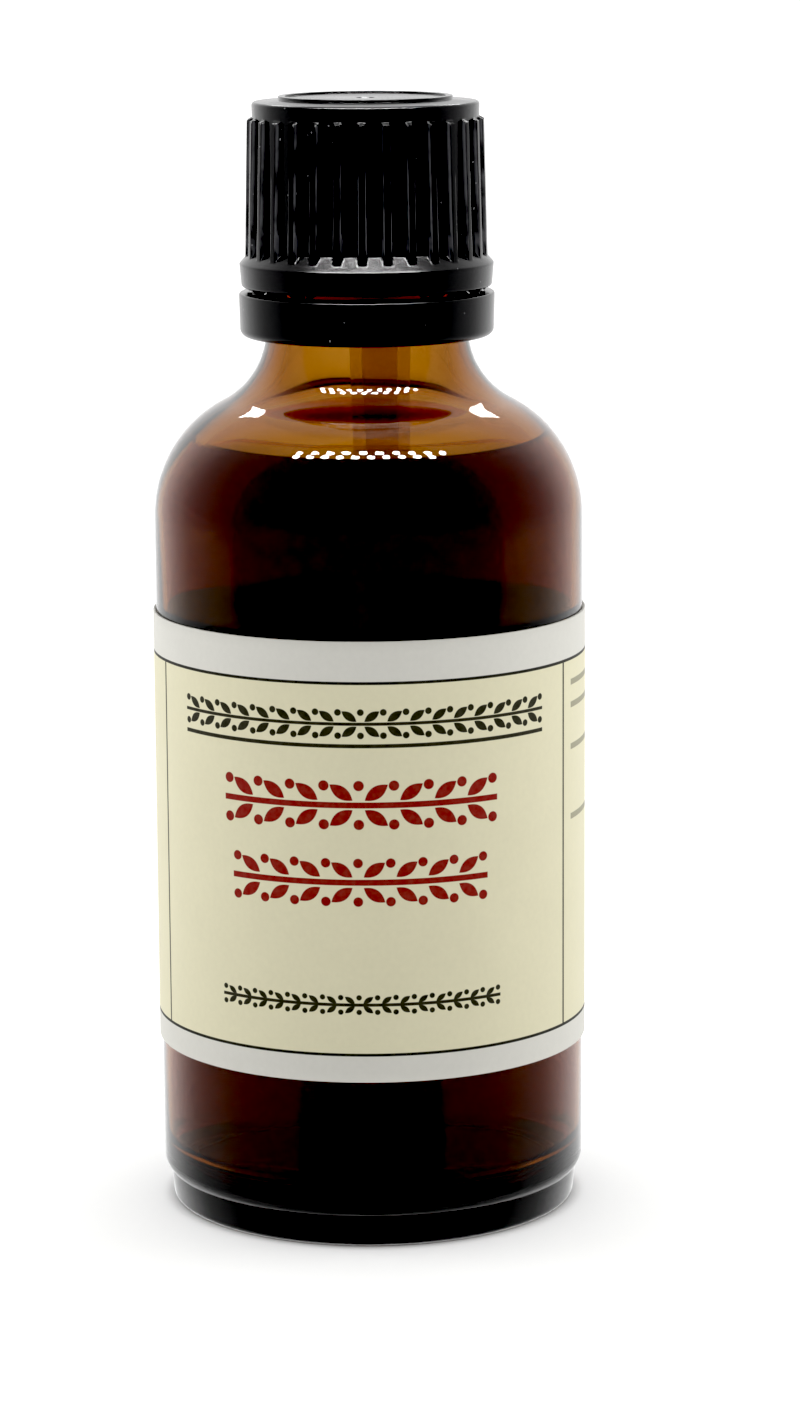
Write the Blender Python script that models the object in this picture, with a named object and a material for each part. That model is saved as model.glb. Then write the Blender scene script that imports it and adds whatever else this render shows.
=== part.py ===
"""Amber glass tincture bottle with a ribbed, tamper-evident screw cap.

Metres, +Z up. The bottle stands on z = 0 with its axis on +Z. The front of the label faces -Y.
Outlines are lists of (radius, height) points that are turned round the axis.
"""
import math

import bmesh
import bpy
from mathutils import Matrix

MM = 0.001
TURN = 2 * math.pi

# Glass: body, shoulder and heel
BODY_R = 18.75 * MM
GLASS_WALL = 2.0 * MM
SHOULDER_R = 11.19 * MM
SHOULDER_Z = 61.46 * MM
SHOULDER_SLOPE = 61.64
THROAT_R = 7.2 * MM
THROAT_Z = 77.81 * MM
NECK_R = 8.79 * MM
HEEL_R = 1.6 * MM
HEEL_Z = 3.96 * MM
HEEL_ANGLE = 48.6
FOOT_TOP_R = 18.12 * MM
FOOT_TOP_Z = 2.72 * MM
FOOT_SIDE_R = 17.95 * MM
FOOT_FILLET = 0.55 * MM
FOOT_LEDGE = 0.7 * MM
REST_INNER_R = 16.0 * MM
PUNT_Z = 1.6 * MM
PUNT_ROUND = ((0, 1.0), (0.5, 0.8), (0.85, 0.35), (1.0, 0))
FLOOR_Z = 4.0 * MM
FLOOR_EDGE_Z = 3.4 * MM
FLOOR_FILLET = 3.2 * MM

# Glass: neck finish, bore and mouth
BEAD_R = 9.55 * MM
BEAD_LOW_Z = 79.3 * MM
BEAD_HIGH_Z = 80.4 * MM
BEAD_SLOPE_Z = 81.3 * MM
BEAD_FILLET = 0.35 * MM
FINISH_R = 7.85 * MM
MOUTH_Z = 92.0 * MM
LIP_FILLET = 0.5 * MM
BORE_R = 5.3 * MM
BORE_LOW_Z = 83.5 * MM
BORE_FLARE_Z = 80.0 * MM

# Screw thread, cut right-handed
PITCH = 3.0 * MM
THREAD_TURNS = 1.5
THREAD_Z = 83.3 * MM
NECK_THREAD_R = 8.75 * MM
NECK_THREAD_ROOT = 1.4 * MM
NECK_THREAD_CREST = 0.6 * MM
CAP_THREAD_R = 8.05 * MM
CAP_THREAD_ROOT = 1.2 * MM
CAP_THREAD_CREST = 0.5 * MM
CAP_THREAD_DROP = 1.225 * MM
CAP_THREAD_START = 160.0
THREAD_RUNOUT = 30.0
THREAD_BITE = 0.35 * MM

# Cap
CAP_BORE_R = 8.95 * MM
CAP_MOUTH_R = 9.7 * MM
CAP_MOUTH_Z = 82.6 * MM
CAP_MOUTH_LEAD = 0.5 * MM
CAP_LOW_Z = 81.4 * MM
CAP_CEILING_Z = 95.6 * MM
CAP_TOP_Z = 97.6 * MM
COLLAR_R = 9.85 * MM
CAP_EDGE_Z = 97.33 * MM
CAP_EDGE_FILLET = 0.3 * MM
RIBS = 30
RIB_TURN = -1.0
RIB_TOP_Z = 95.76 * MM
RIB_TOP_R = 10.27 * MM
RIB_LOW_Z = 84.07 * MM
RIB_LOW_R = 10.54 * MM
RIB_TOP_WIDTH = 0.55 * MM
RIB_LOW_WIDTH = 0.75 * MM
RIB_FLANK = 0.16 * MM
RIB_SHELF = 0.14 * MM
VALLEY_TOP_R = 9.82 * MM
VALLEY_LOW_R = 9.92 * MM
VALLEY_LOW_Z = 84.7 * MM
FLANGE_TOP_R = 11.05 * MM
FLANGE_TOP_Z = 83.43 * MM
FLANGE_LOW_R = 10.9 * MM
FLANGE_CHAMFER = 0.25 * MM
RING_OUT_R = 7.55 * MM
RING_IN_R = 6.95 * MM
RING_FOOT_Z = 97.5 * MM
RING_TOP_Z = 97.8 * MM
RING_CREST = 0.07 * MM

# Tamper band left round the neck below the cap
BAND_TOP_Z = 80.9 * MM
BAND_LOW_Z = 77.1 * MM
BAND_TOP_R = 11.12 * MM
BAND_LOW_R = 11.05 * MM
BAND_IN_R = 10.0 * MM
BAND_FILLET = 0.7 * MM
BAND_EDGE = 0.2 * MM
BAND_LIP_R = 9.15 * MM
BAND_LIP_LOW_Z = 77.7 * MM
BAND_LIP_TOP_Z = 78.6 * MM
BAND_LIP_SLOPE = 0.3 * MM
STUBS = 12
STUB_WIDTH = 0.5 * MM
STUB_DEPTH = 0.45 * MM
STUB_HEIGHT = 0.2 * MM
STUB_R = 10.45 * MM

# Sealing disc under the cap's ceiling
LINER_R = 8.5 * MM
LINER_LOW_Z = 94.4 * MM
LINER_TOP_Z = 95.3 * MM
LINER_EDGE = 0.12 * MM

# Dropper insert pressed into the mouth
PLUG_R = 5.15 * MM
PLUG_IN_R = 4.3 * MM
PLUG_LOW_Z = 84.6 * MM
PLUG_LEAD_R = 0.2 * MM
PLUG_LEAD_Z = 0.8 * MM
INSERT_FLANGE_R = 7.3 * MM
INSERT_LOW_Z = 92.3 * MM
INSERT_TOP_Z = 93.1 * MM
POUR_RING_R = 4.4 * MM
POUR_RING_WALL = 0.7 * MM
POUR_RING_Z = 94.1 * MM
POUR_RING_DRAFT = 0.2 * MM
INSERT_EDGE = 0.15 * MM
STEM_ROOT = 0.3 * MM
STEM_X = 1.1 * MM
STEM_R = 2.6 * MM
STEM_BORE_R = 1.5 * MM
STEM_LOW_Z = 65.0 * MM
DROP_HOLE_R = 0.6 * MM
VENT_R = 0.4 * MM
VENT_X = -2.9 * MM

# Liquid
LIQUID_Z = 67.5 * MM
LIQUID_GAP = 0.2 * MM
STEM_GAP = 0.3 * MM

# Wrap-round label
LABEL_LOW_Z = 14.95 * MM
LABEL_TOP_Z = 53.23 * MM
LABEL_GAP = 0.1 * MM
LABEL_THICKNESS = 0.15 * MM

# Facets of a full turn
BOTTLE_SIDES = 48
BAND_SIDES = 60
SMALL_SIDES = 16
SHARP_ANGLE = math.radians(35)

# How far a cutter reaches past what it cuts, and how close two points are before they are one
CUT_PAST = 1.0 * MM
WELD = 0.001 * MM

# Colours, linear, with roughness and metallic value
AMBER = ((0.22, 0.06, 0.012), 0.05, 0.0)
TINCTURE = ((0.03, 0.006, 0.003), 0.1, 0.0)
BLACK_PLASTIC = ((0.008, 0.008, 0.009), 0.3, 0.0)
CLEAR_PLASTIC = ((0.75, 0.72, 0.64), 0.35, 0.0)
FOAM = ((0.8, 0.8, 0.78), 0.6, 0.0)
PAPER = ((0.72, 0.69, 0.56), 0.6, 0.0)


def clear_scene():
    """Remove every object, so that only this model is left."""
    for obj in list(bpy.data.objects):
        bpy.data.objects.remove(obj, do_unlink=True)


def material(name, finish):
    """A Principled material with the finish's colour, roughness and metallic value."""
    colour, roughness, metallic = finish
    mat = bpy.data.materials.new(name)
    mat.use_nodes = True
    shader = mat.node_tree.nodes["Principled BSDF"]
    shader.inputs["Base Color"].default_value = (*colour, 1.0)
    shader.inputs["Roughness"].default_value = roughness
    shader.inputs["Metallic"].default_value = metallic
    return mat


def add_object(name, bm, mat=None):
    """Make an object from the bmesh, with its faces pointing out, and shade it smooth."""
    bmesh.ops.remove_doubles(bm, verts=bm.verts, dist=WELD)
    bmesh.ops.recalc_face_normals(bm, faces=bm.faces)
    mesh = bpy.data.meshes.new(name)
    bm.to_mesh(mesh)
    bm.free()
    mesh.shade_smooth()
    mesh.set_sharp_from_angle(angle=SHARP_ANGLE)
    obj = bpy.data.objects.new(name, mesh)
    bpy.context.scene.collection.objects.link(obj)
    if mat is not None:
        mesh.materials.append(mat)
    return obj


def add_tool(name, bm):
    """Make a hidden object that another object's Boolean modifier uses."""
    tool = add_object(name, bm)
    tool.hide_render = True
    tool.display_type = "WIRE"
    return tool


def boolean(obj, tool, operation):
    """Add an exact Boolean modifier to the object."""
    mod = obj.modifiers.new(f"{operation.lower()}_{tool.name}", "BOOLEAN")
    mod.operation = operation
    mod.object = tool
    mod.solver = "EXACT"


def arc(centre_r, centre_z, radius, start, end, steps):
    """Points on an arc in the (radius, height) plane, between two angles in degrees."""
    angles = [math.radians(start + (end - start) * i / steps) for i in range(steps + 1)]
    return [(centre_r + radius * math.cos(a), centre_z + radius * math.sin(a)) for a in angles]


def turned(outline, sides, closed=False):
    """Turn an outline round the Z axis into a closed skin. A closed outline makes a ring."""
    bm = bmesh.new()
    verts = [bm.verts.new((r, 0.0, z)) for r, z in outline]
    edges = [bm.edges.new(pair) for pair in zip(verts, verts[1:])]
    if closed:
        edges.append(bm.edges.new((verts[-1], verts[0])))
    bmesh.ops.spin(
        bm, geom=verts + edges, cent=(0, 0, 0), axis=(0, 0, 1), angle=TURN, steps=sides, use_merge=True
    )
    return bm


def rod(x, radius, low, high, sides):
    """A plain upright cylinder on the XZ plane."""
    bm = bmesh.new()
    place = Matrix.Translation((x, 0, (low + high) / 2))
    bmesh.ops.create_cone(
        bm, cap_ends=True, segments=sides, radius1=radius, radius2=radius, depth=high - low, matrix=place
    )
    return bm


def helix(root_r, crest_r, root_width, crest_width, first, shift):
    """A right-handed thread ridge that starts at an angle in degrees and fades out at both ends."""
    steps = round(BOTTLE_SIDES * THREAD_TURNS)
    bm = bmesh.new()
    previous = None
    bite = THREAD_BITE if crest_r > root_r else -THREAD_BITE
    for i in range(steps + 1):
        along = 360 * THREAD_TURNS * i / steps
        fade = min(1.0, along / THREAD_RUNOUT, (360 * THREAD_TURNS - along) / THREAD_RUNOUT)
        crest = root_r + (crest_r - root_r) * fade - bite / 2 * (1 - fade)
        middle = THREAD_Z + shift + PITCH * (first + along) / 360
        angle = math.radians(first + along)
        section = (
            (root_r - bite, middle - root_width / 2),
            (crest, middle - crest_width / 2),
            (crest, middle + crest_width / 2),
            (root_r - bite, middle + root_width / 2),
        )
        ring = [bm.verts.new((r * math.cos(angle), r * math.sin(angle), z)) for r, z in section]
        if previous is None:
            bm.faces.new(ring)
        else:
            for j in range(len(ring)):
                k = (j + 1) % len(ring)
                bm.faces.new((previous[j], previous[k], ring[k], ring[j]))
        previous = ring
    bm.faces.new(previous)
    return bm


def shoulder(offset, steps):
    """The neck's hollow and the shoulder's round, from the neck down, set in by an offset."""
    hollow = arc(NECK_R + THROAT_R, THROAT_Z, THROAT_R + offset, 180, 180 + SHOULDER_SLOPE, steps)
    round_off = arc(BODY_R - SHOULDER_R, SHOULDER_Z, SHOULDER_R - offset, SHOULDER_SLOPE, 0, steps)
    return hollow + round_off


def glass_outside():
    """The glass's outer outline, from the centre of the base up to the mouth."""
    punt = [(REST_INNER_R * across, PUNT_Z * up) for across, up in PUNT_ROUND]
    rest = arc(FOOT_SIDE_R - FOOT_FILLET, FOOT_FILLET, FOOT_FILLET, -90, 0, 3)
    foot = [(FOOT_TOP_R, FOOT_TOP_Z - FOOT_LEDGE), (FOOT_TOP_R, FOOT_TOP_Z)]
    heel = arc(BODY_R - HEEL_R, HEEL_Z, HEEL_R, -HEEL_ANGLE, 0, 3)
    top = [(NECK_R, BEAD_LOW_Z)]
    bead = arc(BEAD_R - BEAD_FILLET, BEAD_LOW_Z + BEAD_FILLET, BEAD_FILLET, -90, 0, 2)
    bead += [(BEAD_R, BEAD_HIGH_Z), (FINISH_R, BEAD_SLOPE_Z)]
    lip = arc(FINISH_R - LIP_FILLET, MOUTH_Z - LIP_FILLET, LIP_FILLET, 0, 90, 2)
    return punt + rest + foot + heel + shoulder(0, 5)[::-1] + top + bead + lip


def glass_inside(gap, steps):
    """The glass's inner outline, from the bore down to the middle of the floor, set in by a gap."""
    wall = BODY_R - GLASS_WALL
    flare = [(BORE_R - gap, BORE_LOW_Z), (NECK_R - GLASS_WALL - gap, BORE_FLARE_Z)]
    sides = shoulder(GLASS_WALL + gap, steps)
    corner = arc(wall - FLOOR_FILLET, FLOOR_EDGE_Z + FLOOR_FILLET, FLOOR_FILLET - gap, 0, -90, 4)
    return flare + sides + corner + [(0, FLOOR_Z + gap)]


def build_glass():
    """The hollow bottle with its foot, shoulder, bead, thread and mouth."""
    mouth = [(BORE_R + LIP_FILLET / 2, MOUTH_Z), (BORE_R, MOUTH_Z - LIP_FILLET / 2)]
    outline = glass_outside() + mouth + glass_inside(0, 5)
    glass = add_object("bottle_glass", turned(outline, BOTTLE_SIDES), material("amber_glass", AMBER))
    ridge = helix(FINISH_R, NECK_THREAD_R, NECK_THREAD_ROOT, NECK_THREAD_CREST, 0, 0)
    boolean(glass, add_tool("neck_thread", ridge), "UNION")


def build_tincture():
    """The liquid up to its surface, with a slot all round the wall of the dropper's stem."""
    inside = [(r, z) for r, z in glass_inside(LIQUID_GAP, 5) if z < LIQUID_Z]
    slope_angle = math.asin((LIQUID_Z - SHOULDER_Z) / (SHOULDER_R - GLASS_WALL - LIQUID_GAP))
    rim_r = BODY_R - SHOULDER_R + (SHOULDER_R - GLASS_WALL - LIQUID_GAP) * math.cos(slope_angle)
    outline = [(0, LIQUID_Z), (rim_r, LIQUID_Z), *inside]
    liquid = add_object("tincture", turned(outline, BOTTLE_SIDES), material("tincture", TINCTURE))
    slot = turned(
        [
            (STEM_BORE_R - STEM_GAP, STEM_LOW_Z - STEM_GAP),
            (STEM_R + STEM_GAP, STEM_LOW_Z - STEM_GAP),
            (STEM_R + STEM_GAP, LIQUID_Z + CUT_PAST),
            (STEM_BORE_R - STEM_GAP, LIQUID_Z + CUT_PAST),
        ],
        SMALL_SIDES,
        closed=True,
    )
    bmesh.ops.translate(slot, verts=slot.verts, vec=(STEM_X, 0, 0))
    boolean(liquid, add_tool("stem_slot", slot), "DIFFERENCE")


def build_insert():
    """The plug with its flange, pouring ring and stem, and the drop and air holes through it."""
    outline = [
        (0, INSERT_LOW_Z),
        (PLUG_IN_R, INSERT_LOW_Z),
        (PLUG_IN_R, PLUG_LOW_Z),
        (PLUG_R - PLUG_LEAD_R, PLUG_LOW_Z),
        (PLUG_R, PLUG_LOW_Z + PLUG_LEAD_Z),
        (PLUG_R, INSERT_LOW_Z),
        (INSERT_FLANGE_R, INSERT_LOW_Z),
        (INSERT_FLANGE_R, INSERT_TOP_Z - INSERT_EDGE),
        (INSERT_FLANGE_R - INSERT_EDGE, INSERT_TOP_Z),
        (POUR_RING_R, INSERT_TOP_Z),
        (POUR_RING_R - POUR_RING_DRAFT, POUR_RING_Z),
        (POUR_RING_R - POUR_RING_WALL, POUR_RING_Z),
        (POUR_RING_R - POUR_RING_WALL - POUR_RING_DRAFT, INSERT_TOP_Z),
        (0, INSERT_TOP_Z),
    ]
    plug = add_object("dropper_insert", turned(outline, BOTTLE_SIDES), material("insert", CLEAR_PLASTIC))
    high = INSERT_TOP_Z + CUT_PAST
    stem = rod(STEM_X, STEM_R, STEM_LOW_Z, INSERT_LOW_Z + STEM_ROOT, SMALL_SIDES * 2)
    bore = rod(STEM_X, STEM_BORE_R, STEM_LOW_Z - CUT_PAST, INSERT_LOW_Z + STEM_ROOT, SMALL_SIDES)
    boolean(plug, add_tool("stem", stem), "UNION")
    boolean(plug, add_tool("stem_bore", bore), "DIFFERENCE")
    drop_hole = rod(STEM_X, DROP_HOLE_R, INSERT_LOW_Z, high, SMALL_SIDES)
    air_hole = rod(VENT_X, VENT_R, INSERT_LOW_Z - CUT_PAST, high, SMALL_SIDES)
    boolean(plug, add_tool("drop_hole", drop_hole), "DIFFERENCE")
    boolean(plug, add_tool("air_hole", air_hole), "DIFFERENCE")


def build_label():
    """The paper wrapped round the body, with a narrow gap between its ends at the back."""
    inner = BODY_R + LABEL_GAP
    outer = inner + LABEL_THICKNESS
    bm = bmesh.new()
    corners = ((inner, LABEL_LOW_Z), (outer, LABEL_LOW_Z), (outer, LABEL_TOP_Z), (inner, LABEL_TOP_Z))
    face = bm.faces.new([bm.verts.new((r, 0.0, z)) for r, z in corners])
    step = TURN / BOTTLE_SIDES
    start = Matrix.Rotation(TURN / 4 + step, 3, "Z")
    bmesh.ops.rotate(bm, verts=bm.verts, cent=(0, 0, 0), matrix=start)
    bmesh.ops.spin(
        bm,
        geom=face.verts[:] + face.edges[:] + [face],
        cent=(0, 0, 0),
        axis=(0, 0, 1),
        angle=TURN - step,
        steps=BOTTLE_SIDES - 1,
    )
    add_object("label", bm, material("label_paper", PAPER))


def cap_section(valley_r, valley_z, rib_r, rib_z, rib_width):
    """One level of the cap's outside as four points for each rib: its two top corners and its two feet."""
    points = []
    half_top = rib_width / 2 / rib_r
    half_foot = (rib_width / 2 + RIB_FLANK) / valley_r
    front = -TURN / 4 + math.radians(RIB_TURN)
    for i in range(RIBS):
        middle = front + TURN * i / RIBS
        points.append((valley_r, middle - half_foot, valley_z))
        points.append((rib_r, middle - half_top, rib_z))
        points.append((rib_r, middle + half_top, rib_z))
        points.append((valley_r, middle + half_foot, valley_z))
    return points


def plain_section(r, z):
    """One round level of the cap's outside, with its points in line with the ribs'."""
    return cap_section(r, z, r, z, RIB_LOW_WIDTH)


def cap_skin():
    """The cap's whole skin, from the ceiling of its hollow round the mouth and up the outside to its top."""
    edge = arc(COLLAR_R - CAP_EDGE_FILLET, CAP_EDGE_Z - CAP_EDGE_FILLET, CAP_EDGE_FILLET, 0, 90, 2)
    sections = [
        plain_section(CAP_BORE_R, CAP_CEILING_Z),
        plain_section(CAP_BORE_R, CAP_MOUTH_Z),
        plain_section(CAP_MOUTH_R, CAP_MOUTH_Z - CAP_MOUTH_LEAD),
        plain_section(CAP_MOUTH_R, CAP_LOW_Z),
        plain_section(FLANGE_LOW_R - FLANGE_CHAMFER, CAP_LOW_Z),
        plain_section(FLANGE_LOW_R, CAP_LOW_Z + FLANGE_CHAMFER),
        plain_section(FLANGE_TOP_R, FLANGE_TOP_Z),
        cap_section(VALLEY_LOW_R, VALLEY_LOW_Z, RIB_LOW_R, RIB_LOW_Z, RIB_LOW_WIDTH),
        cap_section(VALLEY_TOP_R, RIB_TOP_Z, RIB_TOP_R, RIB_TOP_Z, RIB_TOP_WIDTH),
        plain_section(VALLEY_TOP_R, RIB_TOP_Z + RIB_SHELF),
        *[plain_section(r, z) for r, z in edge],
        plain_section(RING_OUT_R, RING_FOOT_Z),
        plain_section(RING_OUT_R - RING_CREST, RING_TOP_Z),
        plain_section(RING_IN_R + RING_CREST, RING_TOP_Z),
        plain_section(RING_IN_R, CAP_TOP_Z),
    ]
    bm = bmesh.new()
    rings = []
    for section in sections:
        rings.append([bm.verts.new((r * math.cos(a), r * math.sin(a), z)) for r, a, z in section])
    for low, high in zip(rings, rings[1:]):
        for i in range(len(low)):
            k = (i + 1) % len(low)
            bm.faces.new((low[i], low[k], high[k], high[i]))
    bm.faces.new(rings[0])
    bm.faces.new(rings[-1])
    return bm


def build_cap():
    """The ribbed cap with its inner thread."""
    cap = add_object("cap", cap_skin(), material("cap_plastic", BLACK_PLASTIC))
    ridge = helix(
        CAP_BORE_R, CAP_THREAD_R, CAP_THREAD_ROOT, CAP_THREAD_CREST, CAP_THREAD_START, -CAP_THREAD_DROP
    )
    boolean(cap, add_tool("cap_thread", ridge), "UNION")


def build_band():
    """The torn-off tamper band: a ring with a lip that catches under the bead, and bridge stubs."""
    foot = arc(BAND_LOW_R - BAND_FILLET, BAND_LOW_Z + BAND_FILLET, BAND_FILLET, -90, 0, 3)
    outline = [
        (BAND_LIP_R, BAND_LIP_LOW_Z),
        (BAND_IN_R - BAND_LIP_SLOPE, BAND_LOW_Z),
        *foot,
        (BAND_TOP_R, BAND_TOP_Z - BAND_EDGE),
        (BAND_TOP_R - BAND_EDGE, BAND_TOP_Z),
        (BAND_IN_R, BAND_TOP_Z),
        (BAND_IN_R, BAND_LIP_TOP_Z + BAND_LIP_SLOPE),
        (BAND_LIP_R, BAND_LIP_TOP_Z),
    ]
    band = add_object(
        "tamper_band", turned(outline, BAND_SIDES, closed=True), material("band_plastic", BLACK_PLASTIC)
    )
    stubs = bmesh.new()
    for i in range(STUBS):
        place = (
            Matrix.Rotation(TURN * (i + 0.5) / STUBS, 4, "Z")
            @ Matrix.Translation((STUB_R, 0, BAND_TOP_Z))
            @ Matrix.Diagonal((STUB_DEPTH, STUB_WIDTH, STUB_HEIGHT * 2, 1))
        )
        bmesh.ops.create_cube(stubs, size=1.0, matrix=place)
    boolean(band, add_tool("bridge_stubs", stubs), "UNION")


def build_liner():
    """The sealing disc that lies between the pouring ring and the cap's ceiling."""
    outline = [
        (0, LINER_LOW_Z),
        (LINER_R - LINER_EDGE, LINER_LOW_Z),
        (LINER_R, LINER_LOW_Z + LINER_EDGE),
        (LINER_R, LINER_TOP_Z - LINER_EDGE),
        (LINER_R - LINER_EDGE, LINER_TOP_Z),
        (0, LINER_TOP_Z),
    ]
    add_object("liner", turned(outline, BOTTLE_SIDES), material("liner_foam", FOAM))


def main():
    """Build every piece of the bottle."""
    clear_scene()
    build_glass()
    build_tincture()
    build_insert()
    build_label()
    build_band()
    build_liner()
    build_cap()


main()
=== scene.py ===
"""The looks of an amber glass tincture bottle with a ribbed, tamper-evident screw cap.

Every visible piece is built in metres, +Z up, round the bottle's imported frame, and stands on a
pale floor in a white light tent with an open front. The front of the label faces -Y.
"""

import logging
import math
from collections.abc import Callable, Sequence
from dataclasses import dataclass
from enum import Enum

import bmesh
import bpy
from mathutils import Matrix, Vector, noise


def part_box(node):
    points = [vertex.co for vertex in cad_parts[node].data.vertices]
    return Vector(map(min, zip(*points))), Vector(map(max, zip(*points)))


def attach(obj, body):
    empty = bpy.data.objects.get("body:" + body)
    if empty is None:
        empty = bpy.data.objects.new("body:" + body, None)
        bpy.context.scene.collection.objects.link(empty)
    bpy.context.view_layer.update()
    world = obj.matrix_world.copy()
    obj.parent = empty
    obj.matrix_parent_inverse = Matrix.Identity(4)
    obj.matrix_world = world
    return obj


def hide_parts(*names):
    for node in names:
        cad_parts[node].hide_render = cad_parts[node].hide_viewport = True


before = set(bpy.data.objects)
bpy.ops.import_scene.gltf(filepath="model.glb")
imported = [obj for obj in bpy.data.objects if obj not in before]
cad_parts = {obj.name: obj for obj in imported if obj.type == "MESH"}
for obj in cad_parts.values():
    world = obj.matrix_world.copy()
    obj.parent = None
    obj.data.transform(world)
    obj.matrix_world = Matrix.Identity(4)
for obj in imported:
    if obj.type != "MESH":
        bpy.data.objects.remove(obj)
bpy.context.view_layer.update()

MM = 0.001
TURN = 2 * math.pi
WELD = 0.0005 * MM
LOG = logging.getLogger("tincture_bottle")

Point = tuple[float, float]
Colour = tuple[float, float, float]
Value = "float | bpy.types.NodeSocket"


class Body(Enum):
    """The frame's bodies that a piece can ride on."""

    VESSEL = "vessel"
    SEAL = "seal"
    CLOSURE = "closure"


class Slot(Enum):
    """The record's material slots."""

    GLASS = "amber_glass"
    TINCTURE = "tincture"
    INSERT = "insert_plastic"
    PAPER = "label_paper"
    BLACK = "black_plastic"
    FOAM = "liner_foam"


def arc(centre: Point, radius: float, start: float, end: float, steps: int) -> list[Point]:
    """Points on an arc in the (radius, height) plane.

    Args:
        centre: the arc's centre.
        radius: the arc's radius.
        start: the first point's angle in degrees, from the outward direction upwards.
        end: the last point's angle in degrees.
        steps: how many chords the arc has.

    Returns:
        The points in order, both ends among them.
    """
    angles = [math.radians(start + (end - start) * i / steps) for i in range(steps + 1)]
    return [(centre[0] + radius * math.cos(a), centre[1] + radius * math.sin(a)) for a in angles]


def steps_between(start: Point, end: Point, count: int) -> list[Point]:
    """Evenly spaced points from one point up to, but not at, another.

    Args:
        start: the first point.
        end: the point that the row leads to.
        count: how many points.

    Returns:
        The points, the first of them at start.
    """
    return [
        (start[0] + (end[0] - start[0]) * i / count, start[1] + (end[1] - start[1]) * i / count)
        for i in range(count)
    ]


def smooth(value: float, low: float, high: float) -> float:
    """Rise smoothly from 0 at low to 1 at high."""
    share = min(1.0, max(0.0, (value - low) / (high - low)))
    return share * share * (3 - 2 * share)


def turned(outline: Sequence[Point], sides: int, closed: bool = False) -> bmesh.types.BMesh:
    """Turn an outline round the Z axis into a closed skin.

    Args:
        outline: (radius, height) points in order.
        sides: how many facets a full turn has.
        closed: whether the outline's last point joins its first, which makes a ring.

    Returns:
        The skin, with its faces pointing out.
    """
    bm = bmesh.new()
    verts = [bm.verts.new((r, 0.0, z)) for r, z in outline]
    edges = [bm.edges.new(pair) for pair in zip(verts, verts[1:])]
    if closed:
        edges.append(bm.edges.new((verts[-1], verts[0])))
    bmesh.ops.spin(
        bm, geom=verts + edges, cent=(0, 0, 0), axis=(0, 0, 1), angle=TURN, steps=sides, use_merge=True
    )
    clean(bm)
    return bm


def clean(bm: bmesh.types.BMesh) -> None:
    """Weld the skin's doubled points and point its faces out."""
    bmesh.ops.remove_doubles(bm, verts=bm.verts, dist=WELD)
    bmesh.ops.recalc_face_normals(bm, faces=bm.faces)


def push(bm: bmesh.types.BMesh, reach: Callable[[float, float, float], float]) -> None:
    """Move each point of a skin in or out from the axis.

    Args:
        bm: the skin.
        reach: gives the new radius from a point's angle in degrees, radius and height.
    """
    for vert in bm.verts:
        x, y, z = vert.co
        radius = math.hypot(x, y)
        if radius > WELD:
            vert.co.xy *= reach(math.degrees(math.atan2(y, x)), radius, z) / radius


def rod(x: float, radius: float, low: float, high: float, sides: int) -> bmesh.types.BMesh:
    """A plain upright cylinder on the XZ plane."""
    bm = bmesh.new()
    bmesh.ops.create_cone(
        bm,
        cap_ends=True,
        segments=sides,
        radius1=radius,
        radius2=radius,
        depth=high - low,
        matrix=Matrix.Translation((x, 0, (low + high) / 2)),
    )
    return bm


def as_object(name: str, bm: bmesh.types.BMesh, sharp: float) -> bpy.types.Object:
    """Make a smooth-shaded object of a skin.

    Args:
        name: the object's name.
        bm: the skin, which is freed.
        sharp: the angle in degrees past which an edge stays sharp.

    Returns:
        The object, at the origin.
    """
    mesh = bpy.data.meshes.new(name)
    bm.to_mesh(mesh)
    bm.free()
    mesh.shade_smooth()
    mesh.set_sharp_from_angle(angle=math.radians(sharp))
    obj = bpy.data.objects.new(name, mesh)
    bpy.context.scene.collection.objects.link(obj)
    return obj


def cut(obj: bpy.types.Object, tools: Sequence[tuple[str, bmesh.types.BMesh]], sharp: float) -> None:
    """Join shapes to an object's mesh, or cut them from it, for good.

    Args:
        obj: the object whose mesh changes.
        tools: pairs of a Boolean operation and the shape it uses.
        sharp: the angle in degrees past which an edge stays sharp.
    """
    cutters = []
    for operation, bm in tools:
        cutter = as_object(f"{obj.name}_cutter", bm, sharp)
        modifier = obj.modifiers.new("cut", "BOOLEAN")
        modifier.operation = operation
        modifier.object = cutter
        modifier.solver = "EXACT"
        cutters.append(cutter)
    bpy.context.view_layer.update()
    evaluated = obj.evaluated_get(bpy.context.evaluated_depsgraph_get())
    mesh = bpy.data.meshes.new_from_object(evaluated)
    obj.modifiers.clear()
    obj.data = mesh
    for cutter in cutters:
        bpy.data.objects.remove(cutter)
    mesh.shade_smooth()
    mesh.set_sharp_from_angle(angle=math.radians(sharp))


def mark(obj: bpy.types.Object, name: str, holds: Callable[[Vector], bool]) -> None:
    """Give a mesh a number at each point: 1 where the rule holds and 0 elsewhere.

    Args:
        obj: the object whose mesh is marked.
        name: the attribute's name.
        holds: the rule, which is asked about each point's place.
    """
    attribute = obj.data.attributes.new(name, "FLOAT", "POINT")
    attribute.data.foreach_set("value", [float(holds(v.co)) for v in obj.data.vertices])


def set_up(
    obj: bpy.types.Object, material: bpy.types.Material, body: Body, slot: Slot, *nodes: str
) -> bpy.types.Object:
    """Dress a piece and put it on its body.

    Args:
        obj: the piece.
        material: its finish.
        body: the body that it rides on.
        slot: the record's slot that it takes its finish from; not used.
        nodes: the frame's nodes that it stands for.

    Returns:
        The piece.
    """
    obj.data.materials.clear()
    obj.data.materials.append(material)
    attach(obj, body.value)
    if nodes:
        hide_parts(*nodes)
    LOG.info("%s: %d faces, on %s", obj.name, len(obj.data.polygons), body.value)
    return obj


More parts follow.
